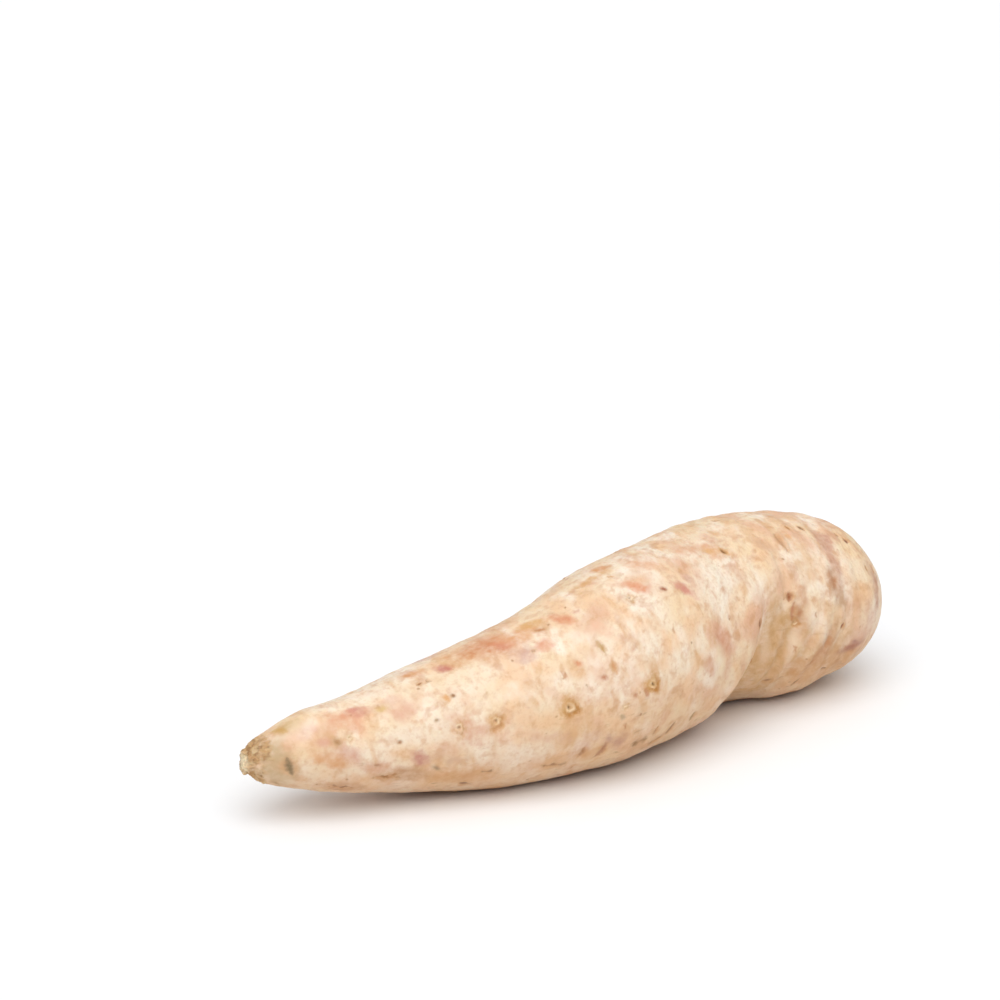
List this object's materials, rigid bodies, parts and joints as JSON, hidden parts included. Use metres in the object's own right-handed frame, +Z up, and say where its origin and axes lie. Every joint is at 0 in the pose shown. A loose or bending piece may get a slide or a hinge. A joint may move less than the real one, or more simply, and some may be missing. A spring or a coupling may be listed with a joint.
{
  "type": "sweet potato",
  "caption": "Whole raw white-skinned sweet potato with a tapered cut stem end, a bent two-lobed body and a blunt tail, lying on its side.",
  "frame": {"origin": "on the ground under the middle of the root", "axes": "+X along the root's length from the cut stem end to the blunt tail, +Z up"},
  "size_m": [0.245, 0.081, 0.0646],
  "materials": {
    "skin": "thin raw root skin, cream with ochre and pink mottling, satin"
  },
  "bodies": {
    "root": {"storage_root": "skin"}
  },
  "joints": []
}
